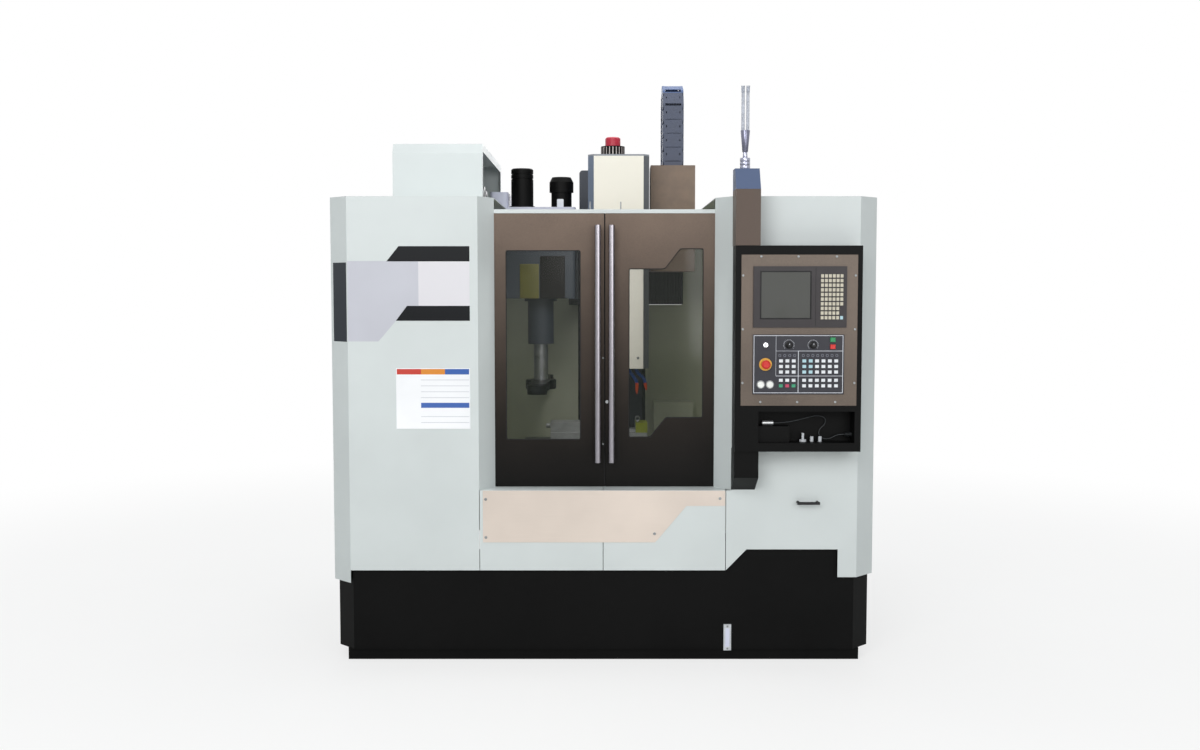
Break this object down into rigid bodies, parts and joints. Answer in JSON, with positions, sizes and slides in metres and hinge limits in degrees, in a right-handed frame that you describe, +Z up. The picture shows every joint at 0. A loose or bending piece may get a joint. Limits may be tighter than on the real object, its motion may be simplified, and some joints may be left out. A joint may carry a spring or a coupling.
{
  "type": "cnc machining center",
  "caption": "CNC vertical machining centre with sliding doors, swinging control box, sliding head and table, and arm tool changer.",
  "frame": {"origin": "on the floor, under the middle of the machine's box", "axes": "+Z up, the operator and the doors on the -Y side, +X to the operator's right"},
  "size_m": [2.6, 2.696, 2.93],
  "materials": {
    "pale_paint": "satin",
    "bronze_paint": "gloss",
    "black_paint": "satin",
    "cream_paint": "satin",
    "lavender_paint": "satin",
    "dark_slate_paint": "satin",
    "casting_paint": "satin",
    "cabin_paint": "satin",
    "yellow_paint": "satin",
    "brushed_steel": "satin",
    "bright_steel": "satin",
    "blackened_steel": "satin",
    "ground_iron": "satin",
    "chrome": "mirror",
    "window_glass": "gloss",
    "display_glass": "gloss",
    "slate_plastic": "matte",
    "black_plastic": "matte",
    "chain_plastic": "matte",
    "blue_plastic": "matte",
    "clear_plastic": "gloss",
    "red_plastic": "gloss",
    "green_plastic": "gloss",
    "white_plastic": "gloss",
    "black_rubber": "matte"
  },
  "bodies": {
    "machine": {"base_casting": "casting_paint", "levelling_feet": "bright_steel", "column": "dark_slate_paint", "left_cabinet": "pale_paint", "right_cabinet": "pale_paint", "cabin_walls": "cabin_paint", "door_frame": "pale_paint", "lower_front_panels": "pale_paint", "kick_plate": "brushed_steel", "coolant_tank": "black_paint", "level_gauge": "bright_steel", "cabinet_handle": "black_plastic", "magazine_cover": "pale_paint", "cam_box": "lavender_paint", "magazine_motor": "black_paint", "arm_motor": "black_paint", "panel_arm_upper": "bronze_paint", "panel_arm_lower": "black_paint", "signal_lamp": "clear_plastic", "electrical_cabinet": "pale_paint"},
    "left_door": {"left_door": "bronze_paint", "left_window": "window_glass", "left_door_handle": "brushed_steel"},
    "right_door": {"right_door": "bronze_paint", "right_window": "window_glass", "right_door_handle": "brushed_steel"},
    "door_lock": {"door_lock": "chrome"},
    "control_box": {"control_box": "black_paint", "panel_plate": "bronze_paint", "display_unit": "slate_plastic", "display_glass": "display_glass", "operator_panel": "slate_plastic", "tray_cable": "black_rubber", "cable_plug": "brushed_steel"},
    "feed_knob": {"feed_knob": "black_plastic"},
    "spindle_knob": {"spindle_knob": "black_plastic"},
    "key_switch": {"key_switch": "chrome"},
    "emergency_stop": {"emergency_stop": "red_plastic"},
    "green_button": {"green_button": "green_plastic"},
    "red_button": {"red_button": "red_plastic"},
    "left_round_button": {"left_round_button": "white_plastic"},
    "right_round_button": {"right_round_button": "white_plastic"},
    "saddle": {"saddle": "casting_paint"},
    "table": {"table": "ground_iron", "vise_body": "ground_iron"},
    "vise_jaw": {"vise_jaw": "yellow_paint"},
    "head": {"head_casting": "dark_slate_paint", "head_cover": "cream_paint", "spindle_motor": "black_paint", "motor_cap": "red_plastic", "chain_box": "bronze_paint", "coolant_hoses": "blue_plastic"},
    "spindle": {"spindle": "bright_steel"},
    "cable_chain": {"cable_chain": "chain_plastic"},
    "magazine_disc": {"magazine_disc": "ground_iron"},
    "change_pot": {"change_pot": "black_plastic"},
    "arm_shaft": {"arm_shaft": "bright_steel"},
    "tool_arm": {"tool_arm": "blackened_steel"},
    "electrical_door": {"electrical_door": "pale_paint"},
    "main_switch": {"main_switch": "red_plastic"}
  },
  "joints": [
    {"name": "left_door_slide", "type": "slide", "parent": "machine", "child": "left_door", "axis": [-1, 0, 0], "range_m": [0, 0.47]},
    {"name": "right_door_slide", "type": "slide", "parent": "machine", "child": "right_door", "axis": [1, 0, 0], "range_m": [0, 0.47]},
    {"name": "door_lock_turn", "type": "hinge", "parent": "right_door", "child": "door_lock", "pos_m": [0.0175, -1.03, 1.24], "axis": [0, -1, 0], "range_deg": [0, 90]},
    {"name": "control_box_swing", "type": "hinge", "parent": "machine", "child": "control_box", "pos_m": [0.659, -1.234, 1.5], "axis": [0, 0, -1], "range_deg": [0, 90]},
    {"name": "feed_knob_turn", "type": "hinge", "parent": "control_box", "child": "feed_knob", "pos_m": [0.85, -1.31, 1.525], "axis": [0, -1, 0], "range_deg": [-135, 135]},
    {"name": "spindle_knob_turn", "type": "hinge", "parent": "control_box", "child": "spindle_knob", "pos_m": [0.961, -1.31, 1.525], "axis": [0, -1, 0], "range_deg": [-135, 135]},
    {"name": "key_switch_turn", "type": "hinge", "parent": "control_box", "child": "key_switch", "pos_m": [0.743, -1.31, 1.525], "axis": [0, -1, 0], "range_deg": [-45, 45]},
    {"name": "emergency_stop_press", "type": "slide", "parent": "control_box", "child": "emergency_stop", "axis": [0, 1, 0], "range_m": [0, 0.006]},
    {"name": "green_button_press", "type": "slide", "parent": "control_box", "child": "green_button", "axis": [0, 1, 0], "range_m": [0, 0.006], "stiffness_N_per_m": 1200},
    {"name": "red_button_press", "type": "slide", "parent": "control_box", "child": "red_button", "axis": [0, 1, 0], "range_m": [0, 0.006], "stiffness_N_per_m": 1200},
    {"name": "left_round_button_press", "type": "slide", "parent": "control_box", "child": "left_round_button", "axis": [0, 1, 0], "range_m": [0, 0.006], "stiffness_N_per_m": 1200},
    {"name": "right_round_button_press", "type": "slide", "parent": "control_box", "child": "right_round_button", "axis": [0, 1, 0], "range_m": [0, 0.006], "stiffness_N_per_m": 1200},
    {"name": "saddle_slide", "type": "slide", "parent": "machine", "child": "saddle", "axis": [0, 1, 0], "range_m": [-0.25, 0.25]},
    {"name": "table_slide", "type": "slide", "parent": "saddle", "child": "table", "axis": [1, 0, 0], "range_m": [-0.4, 0.4]},
    {"name": "vise_jaw_slide", "type": "slide", "parent": "table", "child": "vise_jaw", "axis": [1, 0, 0], "range_m": [-0.17, 0.055]},
    {"name": "head_slide", "type": "slide", "parent": "machine", "child": "head", "axis": [0, 0, 1], "range_m": [-0.25, 0.25]},
    {"name": "spindle_turn", "type": "hinge", "parent": "head", "child": "spindle", "pos_m": [0.054, -0.07, 1.31], "axis": [0, 0, 1], "continuous": true},
    {"name": "cable_chain_roll", "type": "slide", "parent": "machine", "child": "cable_chain", "axis": [0, 0, 1], "range_m": [-0.125, 0.125]},
    {"name": "magazine_turn", "type": "hinge", "parent": "machine", "child": "magazine_disc", "pos_m": [-0.76, -0.07, 1.86], "axis": [1, 0, 0], "continuous": true},
    {"name": "change_pot_tip", "type": "hinge", "parent": "magazine_disc", "child": "change_pot", "pos_m": [-0.74, -0.07, 1.415], "axis": [0, 1, 0], "range_deg": [0, 90]},
    {"name": "arm_stroke", "type": "slide", "parent": "machine", "child": "arm_shaft", "axis": [0, 0, -1], "range_m": [0, 0.1]},
    {"name": "arm_swing", "type": "hinge", "parent": "arm_shaft", "child": "tool_arm", "pos_m": [-0.345, -0.07, 1.255], "axis": [0, 0, 1], "range_deg": [0, 270]},
    {"name": "electrical_door_swing", "type": "hinge", "parent": "machine", "child": "electrical_door", "pos_m": [1.291, 1.29, 1.4], "axis": [0, 0, -1], "range_deg": [0, 110]},
    {"name": "main_switch_turn", "type": "hinge", "parent": "electrical_door", "child": "main_switch", "pos_m": [0.76, 1.3, 1.7], "axis": [0, -1, 0], "range_deg": [0, 90]}
  ],
  "couplings": [
    {"joint": "cable_chain_roll", "follows": "head_slide", "ratio": 0.5}
  ]
}
